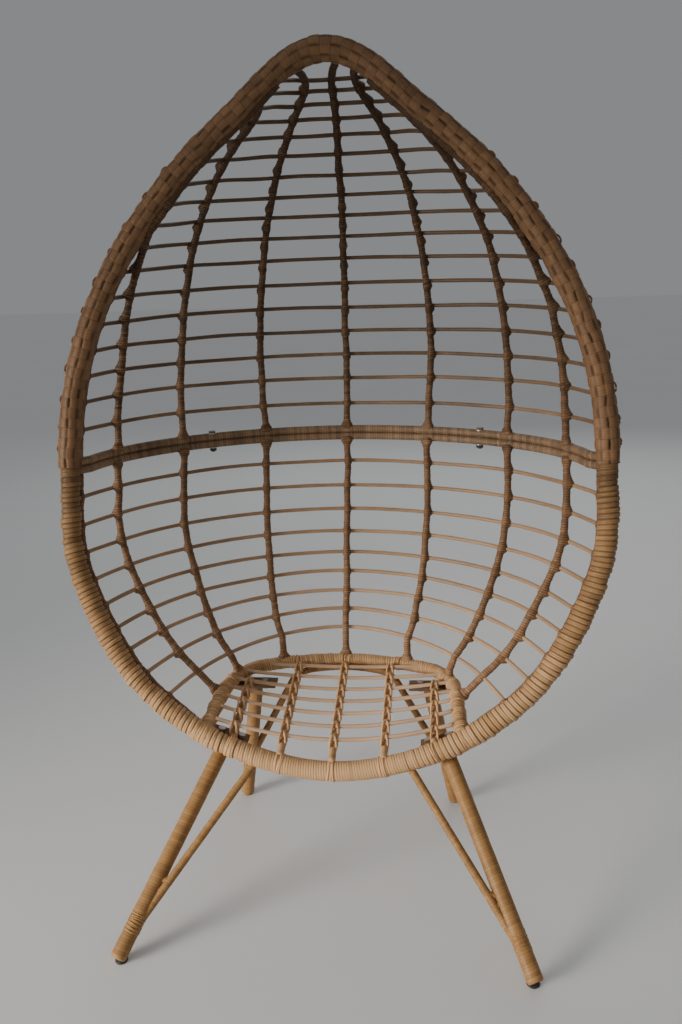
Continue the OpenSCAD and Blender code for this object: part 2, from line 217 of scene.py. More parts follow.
def level(z):
    """Height in shell units: 0 at the split, about -1 and 1 at the bottom and the top."""
    return (np.asarray(z, float) - SPLIT_HEIGHT) / SHELL_UNIT


def shell_depth(z):
    """How far the shell's back lies behind the rim at a height."""
    v = level(z)
    rise = np.clip((z - DOME_START) / (DOME_TOP - DOME_START), 0, 0.9999)
    draw = np.where(v > 0, DRAW_ABOVE * (z - SPLIT_HEIGHT), DRAW_BELOW * v * v)
    return (SHELL_DEPTH - draw) * (1 - rise**DOME_POWER) ** (1 / DOME_POWER)


def shell_point(z, angle, outset, side):
    """Point of the shell at a rim height and an angle round it, 0 at the back, 90 at the rim."""
    z, angle = np.broadcast_arrays(np.asarray(z, float), np.radians(angle))
    v = level(z)
    ease = 1 - np.minimum(v / APEX_LEVEL, 1) ** 6
    back_z = z + np.where(v > 0, LIFT_ABOVE * v * v * ease, LIFT_BELOW * v * v)
    width = np.maximum(half_width(z) - SHELL_INSET + outset, 0)
    rim_y = lean(z)
    back_y = lean(back_z) + shell_depth(back_z) + outset
    power = SECTION_POWER + np.where(v > 0, POWER_ABOVE, POWER_BELOW) * v
    across = np.maximum(np.sin(angle), 0) ** (2 / power)
    behind = np.maximum(np.cos(angle), 0) ** (2 / power)
    return np.stack(
        [side * width * across, rim_y + (back_y - rim_y) * behind, z + (back_z - z) * behind], -1
    )


def side_drop(y):
    """How far the seat frame's sides have fallen toward the rim at a place."""
    forward = np.maximum((DROP_START - y) / (DROP_START - SEAT_ROUTE[0][1]), 0)
    return CORNER_DROP * forward**DROP_POWER


def seat_level(x, y):
    """Height of the sagging seat at a place."""
    slope = (SEAT_BACK - y) / (SEAT_BACK - SEAT_FRONT)
    side = (x / SEAT_HALF_WIDTH) ** 2
    return SEAT_HEIGHT - side_drop(y) * side - SEAT_SAG * slope * (1 - side)


def mirrored(points):
    """A line and its mirror image in X, joined at the line's last point."""
    points = np.asarray(points, float)
    return np.concatenate([points * (-1, 1, 1), points[-2::-1]])


ROUTE_STEP = 2.0
AVERAGED = 3  # neighbours on each side that a route's direction is averaged over


def straight(start, end, count, first=0.0):
    """Points of a straight line, which may begin before its start."""
    return start + (end - start) * np.linspace(first, 1, count)[:, None]


def spread(places, stations, table):
    """Rows of a table of points, read between its stations."""
    return np.stack([np.interp(places, stations, table[:, k]) for k in range(3)], -1)


class Route:
    """A tube's centre line, with the two directions that its section is drawn in."""

    def __init__(self, points, reference=(0, 0, 1)):
        points = np.asarray(points, float)
        gaps = np.linalg.norm(np.diff(points, axis=0), axis=1)
        self.stations = np.concatenate([[0.0], np.cumsum(gaps)])
        self.length = self.stations[-1]
        self.grid = np.linspace(0, self.length, max(int(self.length / ROUTE_STEP), 6) + 1)
        reference = np.broadcast_to(np.asarray(reference, float), points.shape)
        self.centre = spread(self.grid, self.stations, points)
        along = np.gradient(self.centre, axis=0)
        padded = np.concatenate([along[:1]] * AVERAGED + [along] + [along[-1:]] * AVERAGED)
        along = unit(sum(padded[k : k + len(along)] for k in range(2 * AVERAGED + 1)))
        self.across = unit(np.cross(spread(self.grid, self.stations, reference), along))
        self.upward = np.cross(along, self.across)

    def at(self, run, table):
        """Values of a table of this route at distances along it."""
        return spread(run, self.grid, table)


# ---------------- strand work

NUDGE = 1e-6  # keeps a place in a groove on one side of it
SHADES = 997  # a prime, so that steps through the list don't fall into a beat
RIPPLE_KNOTS = 800
RIPPLE_START = 20
LUMP_TURNS = 300
LUMP_LENGTH = 0.45
CROWN_POWER = 0.6
CROWN_LEVEL = 0.6
MERGE_GAP = 3e-6
LOOP_REFERENCE = (0.13, 0.21, 0.97)  # a direction that no loop follows


def strand_shades(seed):
    """A fixed list of random shades, one for each turn of a strand."""
    return np.random.default_rng(seed).random(SHADES)


def ripple(values, seed, wavelength):
    """Slow random change along a tube, between -1 and 1."""
    rng = np.random.default_rng(seed)
    knots = rng.uniform(-1, 1, RIPPLE_KNOTS)
    place = np.asarray(values, float) / wavelength + RIPPLE_START
    i = np.clip(np.floor(place).astype(int), 0, RIPPLE_KNOTS - 3)
    t = clamp(place - i)
    t = t * t * (3 - 2 * t)
    return knots[i] * (1 - t) + knots[i + 1] * t


def bump(distance, above, below=None):
    """Hump of height one at a distance of zero, which may have its own width on each side."""
    width = np.where(distance > 0, above, below) if below else above
    return np.exp(-((distance / width) ** 2))


def rounded(part):
    """Height of one strand across its width, from 0 in the grooves to 1 on the crown."""
    return np.sin(np.pi * part) ** CROWN_POWER


def nearest(run, stations):
    """Signed distance from the nearest of some stations."""
    gaps = np.asarray(run)[..., None] - np.asarray(stations, float)
    pick = np.argmin(np.abs(gaps), axis=-1)
    return np.take_along_axis(gaps, pick[..., None], -1)[..., 0]


class Section:
    """Section of a tube.

    Its call gives the radius, the shade and the strength of painted shade in its grooves and gaps
    for places on the tube.
    """

    twist = 0.0

    def roll(self, run):
        """Turn of the whole section about the tube's line."""
        return 0.0

    def shade(self, number):
        """Shade of a numbered strand."""
        return self.shades[number % SHADES]


class Winding(Section):
    """Section of a tube close-wound with flat strand.

    What one kind of winding needs besides is given by name.
    """

    bands = wave = lump = 0.0
    parts = np.array((0.0, 0.17, 0.5, 0.83))

    def __init__(self, radius, pitch, relief, seed, **more):
        self.radius, self.pitch, self.relief, self.seed = radius, pitch, relief, seed
        self.shades = strand_shades(seed)
        for name, value in more.items():
            setattr(self, name, value)
        self.twist = pitch * (2 if self.bands else 1)

    def rows(self, length):
        """Places of the rings, one of them in each groove."""
        turns = np.arange(-2, math.ceil(length / self.pitch) + 1)
        return ((turns[:, None] + self.parts) * self.pitch).ravel()

    def swell(self, lag):
        """Rise and fall of the broad bands, each of two strands."""
        return np.abs(np.sin(np.pi * lag / (2 * self.pitch))) ** 0.7

    def lumps(self, turn, lag):
        """Slow random change along the strand itself, between -1 and 1."""
        course = np.floor(lag / self.twist + NUDGE) + turn / FULL_TURN
        return ripple(np.mod(course, LUMP_TURNS), self.seed + 2, LUMP_LENGTH)

    def __call__(self, run, turn, lag):
        place = lag / self.pitch + NUDGE
        strand = np.floor(place).astype(int)
        crown = rounded(place - strand)
        radius = self.radius + self.relief * (crown - CROWN_LEVEL)
        shade = self.shade(strand)
        if self.bands:
            radius = radius + self.bands * (self.swell(lag) - 0.5)
            shade = 0.5 * shade + 0.5 * self.shade(strand // 2 * 7)
        if self.wave:
            radius = radius + self.wave * ripple(run + 9 * np.sin(turn), self.seed + 1, 37.0)
        if self.lump:
            radius = radius + self.lump * self.lumps(turn, lag)
        # painted shade in the grooves between turns of the strand
        return radius, shade, (1 - crown) ** 1.5


class Basketwork(Section):
    """Section of a tube woven in alternating cells with an open slot at every other edge."""

    strands = 4
    steps = np.array((0.0, 0.3, 0.7))
    columns = np.array((0.0, 0.11, 0.3, 0.5, 0.7, 0.89))
    slot_depth = 3.4
    edge_depth = 0.4

    def __init__(self, radius, cell, around, relief, seed):
        self.radius, self.cell, self.around = radius, cell, around
        self.relief, self.seed = relief, seed
        self.shades = strand_shades(seed)

    def roll(self, run):
        return 0.16 * ripple(run, self.seed + 4, 70.0) + 0.07 * ripple(run, self.seed + 5, 24.0)

    def rows(self, length):
        pitch = self.cell / self.strands
        turns = np.arange(0, math.ceil(length / pitch) + 1)
        return ((turns[:, None] + self.steps) * pitch).ravel()

    def angles(self):
        fractions = np.arange(self.around)[:, None] + self.columns
        return np.append(fractions.ravel(), self.around) * FULL_TURN / self.around

    def __call__(self, run, turn, lag):
        along = lag / self.cell + NUDGE
        band = np.floor(along).astype(int)
        part = along - band
        place = turn * self.around / FULL_TURN + NUDGE
        column = np.floor(place).astype(int)
        share = place - column
        column = column % self.around
        over = (band + column) % 2 == 0
        strand = np.mod(along * self.strands, 1.0)
        crown = rounded(strand)
        dome = (np.sin(np.pi * clamp(part)) * np.sin(np.pi * clamp(share))) ** 0.35
        shade = self.shade(band * 17 + column * 5)
        radius = self.radius - 0.45 * self.relief + np.where(over, 1.0, 0.6) * self.relief * dome
        radius = radius + 0.3 * (crown - CROWN_LEVEL) + 1.0 * (shade - 0.5) * dome
        at_edge = (share < 0.02) | (share > 0.98)
        by_edge = (share < 0.15) | (share > 0.85)
        slotted = (band + column + (share > 0.5)) % 2 == 0
        from_end = 0.5 - np.abs(part - 0.5)
        middle = clamp(from_end / 0.09) ** 0.5
        slot = np.where(slotted, middle, 0.0) * np.where(at_edge, 1.0, np.where(by_edge, 0.3, 0.0))
        slot = slot * (0.3 + 0.7 * self.shade(band * 13 + column * 29) ** 1.5)
        radius = radius - self.slot_depth * slot - np.where(at_edge, self.edge_depth, 0.0)
        radius = radius + 0.9 * ripple(run + 8 * np.sin(turn), self.seed + 1, 36.0)
        fine = self.shade(band * 4 + np.floor(strand + along * 4).astype(int) * 3)
        # painted shade: the slots, the cell edges and the gaps between strands are darkened
        edge = np.where(at_edge, 0.3, 0.0) + 0.14 * bump(from_end, 0.05)
        recess = clamp(np.maximum(slot**0.6, edge) + 0.2 * (1 - crown) ** 2)
        return radius, 0.72 * shade + 0.28 * fine, recess


class SmoothRod(Section):
    """Section of a plain drawn strand rod that is never quite straight."""

    def __init__(self, radius, seed):
        self.radius, self.seed = radius, seed
        self.shades = strand_shades(seed)

    def rows(self, length):
        return np.linspace(0, length, max(int(length / (2.2 * self.radius)), 8) + 1)

    def __call__(self, run, turn, lag):
        radius = self.radius * (1 + 0.05 * ripple(run, self.seed, 30.0))
        shade = 0.25 + 0.5 * self.shade(0) + 0.25 * ripple(run, self.seed + 3, 60.0)
        return radius, clamp(shade), np.zeros_like(run)


def mesh_from(bm, name):
    """A mesh that takes over what a bmesh holds."""
    mesh = bpy.data.meshes.new(name)
    bm.to_mesh(mesh)
    bm.free()
    return mesh


def tube(route, section, sides=None, angles=None):
    """A loose mesh of one tube, whose rings follow the strand's own lead."""
    angles = np.linspace(0, FULL_TURN, sides + 1) if angles is None else angles
    rows = section.rows(route.length)
    turn = np.broadcast_to(angles[None, :], (len(rows), len(angles)))
    lead = section.twist * turn / FULL_TURN
    run = np.clip(rows[:, None] + lead, 0, route.length)
    lag = run - lead
    radius, shade, recess = section(run, turn, lag)
    aim = turn + section.roll(run)
    across = np.cos(aim)[..., None] * route.at(run, route.across)
    upward = np.sin(aim)[..., None] * route.at(run, route.upward)
    place = route.at(run, route.centre) + radius[..., None] * (across + upward)
    lay = np.stack([run, radius * np.cos(turn), radius * np.sin(turn)], -1)

    bm = bmesh.new()
    bmesh.ops.create_grid(bm, x_segments=len(rows) - 1, y_segments=len(angles) - 1, size=1)
    mesh = mesh_from(bm, "loose_tube")
    flat = np.empty(len(mesh.vertices) * 3, np.float32)
    mesh.vertices.foreach_get("co", flat)
    flat = flat.reshape(-1, 3)
    i = np.rint((flat[:, 0] + 1) / 2 * (len(rows) - 1)).astype(int)
    j = np.rint((flat[:, 1] + 1) / 2 * (len(angles) - 1)).astype(int)
    mesh.vertices.foreach_set("co", (place[i, j] * MM).astype(np.float32).ravel())
    for label, kind, field, values in (
        ("shade", "FLOAT", "value", shade),
        ("recess", "FLOAT", "value", recess),
        ("lay", "FLOAT_VECTOR", "vector", lay * MM),
    ):
        attribute = mesh.attributes.new(label, kind, "POINT")
        attribute.data.foreach_set(field, values[i, j].astype(np.float32).ravel())
    return mesh


def collar(route, station, radius, strand, tilt, phase, seed):
    """One turn of strand laid round a tube, leaning along it by a distance."""
    turn = phase + np.linspace(0, 1.04, 40) * FULL_TURN
    run = station + tilt * np.sin(turn - phase)
    across, upward = route.at(run, route.across), route.at(run, route.upward)
    outward = np.cos(turn)[:, None] * across + np.sin(turn)[:, None] * upward
    line = route.at(run, route.centre) + radius * outward
    return tube(Route(line, np.cross(across, upward)), SmoothRod(strand, seed), sides=8)


def strand_loop(points, strand, seed):
    """A short bent strand through a few points."""
    line = smooth_route(points, 5)
    return tube(Route(line, LOOP_REFERENCE), SmoothRod(strand, seed), sides=8)


def link(name, data):
    """A new object in the scene."""
    thing = bpy.data.objects.new(name, data)
    bpy.context.scene.collection.objects.link(thing)
    return thing


def make_piece(name, tubes, slot, *nodes):
    """One finished object from loose meshes: merged, closed, turned outwards, given its finish and
    hung on the body, with the nodes it stands for hidden.
    """
    bm = bmesh.new()
    for loose in tubes:
        bm.from_mesh(loose)
        bpy.data.meshes.remove(loose)
    bmesh.ops.remove_doubles(bm, verts=bm.verts, dist=MERGE_GAP)
    bmesh.ops.dissolve_degenerate(bm, edges=bm.edges, dist=1e-6)
    open_edges = [edge for edge in bm.edges if edge.is_boundary]
    bmesh.ops.holes_fill(bm, edges=open_edges, sides=0)
    bmesh.ops.recalc_face_normals(bm, faces=bm.faces)
    mesh = mesh_from(bm, name)
    mesh.polygons.foreach_set("use_smooth", np.ones(len(mesh.polygons), bool))
    mesh.materials.append(finish_for(slot))
    piece = link(name, mesh)
    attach(piece, BODY)
    if nodes:
        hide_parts(*nodes)


def wrap_node(node, route, section, slot, sides):
    """One wound tube in the place of one node."""
    make_piece(f"{node}_wrap", [tube(route, section, sides)], slot, node)


# ---------------- finishes


class Wire:
    """A shader socket that takes part in sums; a sum on values adds its Math nodes."""

    def __init__(self, finish, socket):
        self.finish = finish
        self.socket = socket

    def _math(self, operation, first, second):
        return self.finish.add("ShaderNodeMath", {0: first, 1: second}, operation=operation)

    def __add__(self, other):
        return self._math("ADD", self, other)

    def __sub__(self, other):
        return self._math("SUBTRACT", self, other)

    def __rsub__(self, other):
        return self._math("SUBTRACT", other, self)

    def __mul__(self, other):
        return self._math("MULTIPLY", self, other)


class Finish:
    """A material that is being put together from nodes."""

    def __init__(self, name):
        self.material = bpy.data.materials.new(name)
        self.material.use_nodes = True
        self.tree = self.material.node_tree
        self.tree.nodes.clear()
        self.shader = self.tree.nodes.new("ShaderNodeBsdfPrincipled")
        output = self.tree.nodes.new("ShaderNodeOutputMaterial")
        self.tree.links.new(self.shader.outputs["BSDF"], output.inputs["Surface"])
        self.place = self.add("ShaderNodeTexCoord", {}, "Object")

    def add(self, kind, inputs, output=0, **settings):
        """Adds a node, sets it up, feeds its sockets and gives one of its outputs."""
        node = self.tree.nodes.new(kind)
        for key, value in settings.items():
            setattr(node, key, value)
        for key, value in inputs.items():
            self._feed(node.inputs[key], value)
        return Wire(self, node.outputs[output])

    def feed(self, **values):
        """Sets or links sockets of the shader, named with underscores for spaces."""
        for key, value in values.items():
            self._feed(self.shader.inputs[key.replace("_", " ")], value)

    def _feed(self, socket, value):
        if isinstance(value, Wire):
            self.tree.links.new(value.socket, socket)
        else:
            socket.default_value = value

    def attribute(self, name, output="Fac"):
        return self.add("ShaderNodeAttribute", {}, output, attribute_name=name)

    def noise(self, vector, scale, detail):
        inputs = {"Vector": vector, "Scale": scale, "Detail": detail, "Roughness": 0.55}
        return self.add("ShaderNodeTexNoise", inputs)

    def ramp(self, factor, stops):
        ramped = self.add("ShaderNodeValToRGB", {"Fac": factor})
        elements = ramped.socket.node.color_ramp.elements
        while len(elements) < len(stops):
            elements.new(0.5)
        for element, (place, tone) in zip(elements, stops):
            element.position = place
            element.color = (*tone[:3], 1.0)
        return ramped

    def bump(self, height, strength, distance):
        inputs = {"Strength": strength, "Distance": distance, "Height": height}
        return self.add("ShaderNodeBump", inputs)


def shaded(colour, factor):
    """A colour made lighter or darker."""
    return tuple(min(c * factor, 1.0) for c in colour[:3])


def strand_finish(name, colour, contrast, gap, fade, roughness=0.5, coat=0.03, across_tube=True):
    """Satin strand: its own shade for every turn, fine grain along it, painted shade in the gaps.

    It is darkened with height as painted shade.
    """
    f = Finish(name)
    lay = f.attribute("lay", "Vector")
    shade = f.attribute("shade")
    recess = f.attribute("recess")
    stretch = (900, 70, 70) if across_tube else (40, 650, 650)
    stretched = f.add("ShaderNodeVectorMath", {0: lay, 1: stretch}, operation="MULTIPLY")
    grain = f.noise(stretched, 1.0, 4.0)
    patches = f.noise(f.place, 9.0, 4.0)
    height = f.add("ShaderNodeSeparateXYZ", {"Vector": f.place}, "Z")
    tone = shade * (0.46 * contrast) + grain * (0.34 * contrast) + patches * 0.5 - 0.1
    # painted shade: the higher the strand stands, the darker it is
    tone = tone + (0.5 - height) * fade + (1.0 - contrast) * 0.4
    stops = (
        (0.02, shaded(colour, 0.3)),
        (0.36, shaded(colour, 0.72)),
        (0.62, colour),
        (0.92, shaded((colour[0], colour[1] * 1.08, colour[2] * 1.25), 1.42)),
    )
    base = f.ramp(tone, stops)
    # painted shade: a near-black copy of the colour is mixed in along the mesh's shade mask, as
    # strongly as gap says
    groove_shade_colour = (*shaded(colour, 0.08), 1.0)
    mixed = f.add("ShaderNodeMix", {0: recess * gap, 6: base, 7: groove_shade_colour}, 2, data_type="RGBA")
    worn = f.noise(f.place, 55.0, 3.0)
    f.feed(
        Base_Color=mixed,
        Roughness=grain * 0.22 + worn * 0.12 + recess * 0.3 + (roughness - 0.16),
        Normal=f.bump(grain + worn * 0.5, 0.35, 0.0006),
    )
    f.feed(Coat_Weight=coat, Coat_Roughness=0.3, Specular_IOR_Level=0.22)
    return f.material


def metal_finish(name, colour, roughness, metallic=1.0):
    """Plated or painted metal with a fine cloudy surface and dull spots."""
    f = Finish(name)
    cloud = f.noise(f.place, 160.0, 4.0)
    spots = f.noise(f.place, 420.0, 2.0)
    base = f.ramp(cloud, ((0.3, shaded(colour, 0.72)), (0.7, colour)))
    f.feed(
        Base_Color=base,
        Roughness=cloud * 0.25 + spots * 0.1 + (roughness - 0.16),
        Normal=f.bump(spots, 0.15, 0.0002),
        Metallic=metallic,
    )
    return f.material


def moulded_finish(name, colour):
    """Matt moulded plastic with a fine stipple and scuffs."""
    f = Finish(name)
    stipple = f.noise(f.place, 900.0, 2.0)
    scuff = f.noise(f.place, 60.0, 5.0)
    base = f.ramp(scuff, ((0.35, colour), (0.8, shaded(colour, 2.6))))
    f.feed(Base_Color=base, Roughness=scuff * 0.3 + 0.4, Normal=f.bump(stipple, 0.2, 0.0003))
    return f.material


FINISHES = {
    "woven_rattan": (
        strand_finish, "woven_strand", {"contrast": 0.6, "gap": 0.85, "fade": 0.2}
    ),
    "wrapped_rattan": (
        strand_finish, "wrapped_strand", {"contrast": 0.7, "gap": 0.6, "fade": 1.5}
    ),
    "leg_rattan": (
        strand_finish, "leg_strand",
        {"contrast": 0.5, "gap": 0.2, "fade": 0.0, "roughness": 0.44, "coat": 0.08},
    ),
    "rib_rattan": (strand_finish, "rib_strand", {"contrast": 0.8, "gap": 0.85, "fade": 0.8}),
    "cane_rod": (
        strand_finish, "cane",
        {
            "contrast": 0.55, "gap": 0.6, "fade": 1.2, "roughness": 0.46, "coat": 0.06,
            "across_tube": False,
        },
    ),
    "bright_steel": (metal_finish, "bright_plating", {"roughness": 0.3}),
    "dark_steel": (metal_finish, "dark_paint", {"roughness": 0.5, "metallic": 0.25}),
    "black_cap": (moulded_finish, "moulded_cap", {}),
}


def finish_for(slot):
    """The finish of one of the chair's material slots, in its colour from the sidebar."""
    make, name, amounts = FINISHES[slot]
    tone = getattr(bpy.context.scene.egg_chair_colours, slot)
    return bpy.data.materials.get(name) or make(name, tone, **amounts)


# ---------------- settings


def length(label, text, value):
    return FloatProperty(name=label, description=text, default=value, min=0.0, unit="LENGTH")


def colour(label, text, value):
    return FloatVectorProperty(
        name=label, description=text, default=value, size=3, min=0.0, max=1.0, subtype="COLOR"
    )


class EggChairSizes(bpy.types.PropertyGroup):
    """Sizes of the strand work."""

    strand: length("Strand Width", "Width of the flat strand on the rims and ribs", 0.0046)
    relief: length("Strand Relief", "Height of a strand's crown over its grooves", 0.0009)
    cell: length("Basket Cell", "Length of a cell of the upper rim's basket weave", 0.018)
    knot: length("Knot Height", "How far a lashing stands out of its rib", 0.0074)
    leg_strand: length("Leg Strand Width", "Width of the strand on the legs", 0.0048)
    cells_around: IntProperty(
        name="Cells Around", description="Basket cells round the upper rim",
        default=8, min=4, max=16,
    )


class EggChairColours(bpy.types.PropertyGroup):
    """Colours of the strand, the metal, the caps and the floor."""

    # painted shade: the woven strand of the upper rim and the rib strand are darker copies of the
    # same rattan, for the shade they stand in
    woven_rattan: colour("Woven Strand", "Upper rim", (0.270, 0.142, 0.066))
    wrapped_rattan: colour("Wrapped Strand", "Lower rim and seat frame", (0.430, 0.235, 0.098))
    leg_rattan: colour("Leg Strand", "Legs and braces", (0.345, 0.178, 0.060))
    rib_rattan: colour("Rib Strand", "Ribs and side rods", (0.285, 0.150, 0.070))
    cane_rod: colour("Rods", "Rungs, rails and seat rods", (0.415, 0.256, 0.142))
    bright_steel: colour("Bright Steel", "Bolts, washers and nuts", (0.72, 0.72, 0.70))
    dark_steel: colour("Dark Steel", "Plates and rail bolts", (0.200, 0.118, 0.062))
    black_cap: colour("Caps", "Foot glides and rail nuts", (0.018, 0.018, 0.018))
    floor: colour("Floor", "Floor under the chair", (0.76, 0.76, 0.75))


def sizes():
    return bpy.context.scene.egg_chair_sizes


# ---------------- pieces

CLOSE_PITCH = 4.6
LOOP_ANGLES = np.arange(7.0, 64.0, 5.6)
LOOP_STRAND = 1.8
COLLAR_STRAND = 2.3
LEG_COLLAR_STRAND = 2.4
COLLAR_PLACES = (0, 92, 180, 217, 229, 241)
SLAT_COLLAR_STEPS = (-6.0, -1.5, 3.0)
LASHING_STEPS = (-5.0, 0.0, 5.0)
LASHING_STRAND = 2.0
SLAT_LASHING_STRAND = 2.1
RAIL_LASHING_REACH = 13.0
ROD_STRAND = 0.4  # what the strand adds to a rod's radius
RAIL_POINTS = 120
ROD_POINTS = 90
FRAME_SIDE_POINTS = 90  # points of the seat frame's line that run up its first side
TIP_LIFT = 14
TIP_BEND = 34


def rim_route(middle):
    """Route along the rim from split to split, through an angle above the horizontal."""
    half = rim_point(np.linspace(SPLIT_ANGLE, middle, 241), 1)
    return Route(mirrored(half), (0, 1, 0))


class EggChairUpperRim(bpy.types.Operator):
    """Weave the thick upper rim in basket cells, with its small strand loops"""

    bl_idname = "egg_chair.upper_rim"
    bl_label = "Upper Rim"

    def execute(self, context):
        section = Basketwork(
            UPPER_RIM_RADIUS, sizes().cell / MM, sizes().cells_around, relief=1.3, seed=11
        )
        mesh = tube(rim_route(90.0), section, angles=section.angles())
        make_piece("upper_rim_weave", [mesh], "woven_rattan", "upper_rim")

        rng = np.random.default_rng(5)
        meshes = []
        for side in SIDES.values():
            for angle in LOOP_ANGLES:
                angle = angle + rng.uniform(-0.8, 0.8)
                base = rim_point(angle, side)
                along = unit(rim_point(angle + 0.5, side) - base)
                outward = unit(np.cross((0, 1, 0), along)) * side
                forward = np.array((0, -1, 0)) * rng.uniform(1, 6)
                edge = base + outward * (UPPER_RIM_RADIUS - 2.5) + forward
                sweep = np.linspace(0, math.pi, 9)[:, None]
                bulge = rng.uniform(3.6, 5.2) * np.sin(sweep) * outward
                points = edge + bulge + rng.uniform(6.0, 8.5) * np.cos(sweep) * along
                meshes.append(strand_loop(points, LOOP_STRAND, len(meshes)))
        make_piece("upper_rim_loops", meshes, "woven_rattan")
        return {"FINISHED"}


class LowerRimWinding(Winding):
    """Close winding that grows into broad lumpy bands up the sides of the lower rim."""

    bands = 2.0

    def __call__(self, run, turn, lag):
        radius, shade, recess = super().__call__(run, turn, lag)
        middle = self.length / 2
        off_centre = np.abs(run - middle) / middle
        broad = clamp((off_centre - 0.15) / 0.1) * clamp((1.0 - off_centre) / 0.05)
        swell = self.swell(lag)
        lumps = self.lumps(turn, lag)
        radius = radius - self.bands * (swell - 0.5) * (1 - broad) + lumps * (0.25 + 1.4 * broad)
        radius = radius + 1.1 * broad * ripple(run + 12 * np.sin(turn), self.seed + 5, 31.0)
        # painted shade between the broad bands
        recess = clamp(recess * (0.6 - 0.2 * broad) + 0.95 * broad * (1 - swell) ** 1.5)
        return radius, clamp(shade + 0.35 * lumps * broad), recess


class EggChairLowerRim(bpy.types.Operator):
    """Wrap the lower rim, closely at the front and in broad bands at the sides"""

    bl_idname = "egg_chair.lower_rim"
    bl_label = "Lower Rim"

    def execute(self, context):
        route = rim_route(-90.0)
        section = LowerRimWinding(
            LOWER_RIM_RADIUS, sizes().strand / MM, sizes().relief / MM, seed=23, length=route.length
        )
        wrap_node("lower_rim", route, section, "wrapped_rattan", sides=40)

        rng = np.random.default_rng(8)
        meshes = []
        low = np.flatnonzero(route.centre[:, 2] < RIM_CENTRE_HEIGHT - 300)
        for x in COLLAR_PLACES:
            for side in (-1, 1) if x else (1,):
                station = np.interp(side * x, route.centre[low, 0], route.grid[low])
                for step in SLAT_COLLAR_STEPS if x < 200 else LASHING_STEPS:
                    place = (station + step, LOWER_RIM_RADIUS - rng.uniform(0.2, 1.0))
                    lay = (rng.uniform(-3, 3), rng.uniform(0, 6))
                    meshes.append(collar(route, *place, COLLAR_STRAND, *lay, len(meshes)))
        make_piece("lower_rim_collars", meshes, "wrapped_rattan")
        return {"FINISHED"}


class RibWinding(Winding):
    """Close winding with a lashing at every rung and a flare at the ends."""

    lump = 0.45
    height = 0.0
    girth = 0.8
    flares = ()

    def __call__(self, run, turn, lag):
        radius, shade, recess = super().__call__(run, turn, lag)
        gap = nearest(run, self.knots)
        outward = np.maximum(np.sin(turn), 0) ** 1.4
        radius = radius + self.height * bump(gap, 12.0, 5.5) * outward
        radius = radius + self.girth * bump(gap, 8.0, 6.0)
        # the crotch under each lashing is dented and darkened as painted shadow
        crotch = bump(gap + 8.0, 3.2) * np.maximum(outward, 0.35)
        radius = radius - 0.9 * crotch
        sideways = np.abs(np.cos(turn)) ** 1.5
        for station in self.flares:
            radius = radius + 5.5 * bump(run - station, 8.0) * sideways
        return radius, shade, clamp(recess + 0.8 * crotch)


def rib_line(part, number):
    """Route of an upper or lower rib, and the stations of its lashings and flares."""
    upper = part == "upper"
    kind = number - 1 if number < 5 else 7 - number
    side = -1 if number < 4 else 1
    if upper:
        low, high = SPLIT_HEIGHT + RAIL_RADIUS, RIB_TOPS[kind]
        z = low + (high - low) * np.sin(np.linspace(0, TOP, ROD_POINTS))
    else:
        low, high = RIB_FEET[kind], SPLIT_HEIGHT - RAIL_RADIUS
        z = np.linspace(low, high, ROD_POINTS)
    v = level(z)
    turn = RIB_TURNS_ABOVE[kind] * v**2.6 if upper else RIB_TURNS_BELOW[kind] * v * v
    angle = np.minimum(RIB_ANGLES[kind] + turn, 90)
    line = shell_point(z, angle, RIB_OUTSET, side)
    outward = unit(shell_point(z, angle, RIB_OUTSET + 4, side) - line)
    line[:, 0] += 1.5 * ripple(z, 500 + number + 10 * upper, 46.0)
    if upper and kind:
        end_z = high + TIP_LIFT
        end = np.array([side * max(half_width(end_z) - 12, 0), lean(end_z) + 6, end_z])
        kept = z < high - TIP_BEND
        share = np.linspace(0, 1, 16)[1:, None]
        bend = (1 - share) ** 2 * line[kept][-1] + 2 * share * (1 - share) * line[-1]
        line = np.concatenate([line[kept], bend + share**2 * end])
        outward = np.concatenate([outward[kept], np.repeat(outward[-1:], len(share), axis=0)])
        z = line[:, 2]
    if not upper:
        seat = [side * RIB_SEATS[kind][0], RIB_SEATS[kind][1], SEAT_HEIGHT]
        line, outward = np.concatenate([[seat], line]), np.concatenate([outward[:1], outward])
        z = np.append(low - 30, z)
    route = Route(line, outward)
    rungs = [rung for rung in RUNG_HEIGHTS[part] if low + 5 < rung < high - 3]
    knots = np.interp(rungs, z, route.stations)
    flares = [RAIL_RADIUS] if upper else [SEAT_FRAME_RADIUS, route.length - RAIL_RADIUS]
    return route, knots, flares


class EggChairRibs(bpy.types.Operator):
    """Wrap the fourteen upright ribs, with a lashing at every rung"""

    bl_idname = "egg_chair.ribs"
    bl_label = "Ribs"

    def execute(self, context):
        for part in RUNGS:
            for number in range(1, 8):
                route, knots, flares = rib_line(part, number)
                section = RibWinding(
                    RIB_RADIUS, sizes().strand / MM, relief=0.6, seed=40 + number,
                    knots=knots, height=sizes().knot / MM, flares=flares,
                )
                wrap_node(f"{part}_rib_{number}", route, section, "rib_rattan", sides=20)
        return {"FINISHED"}


class RailWinding(Winding):
    """Flat close winding with a slight swelling where a rib is lashed on."""

    def __call__(self, run, turn, lag):
        radius, shade, recess = super().__call__(run, turn, lag)
        gap = np.abs(nearest(run, self.knots))
        cover = clamp((RAIL_LASHING_REACH - gap) / 3.0)
        # painted shade along the edges of each lashing
        edge = bump(gap - RAIL_LASHING_REACH, 1.6)
        return radius + 0.9 * cover, shade, clamp(recess + 0.6 * edge)


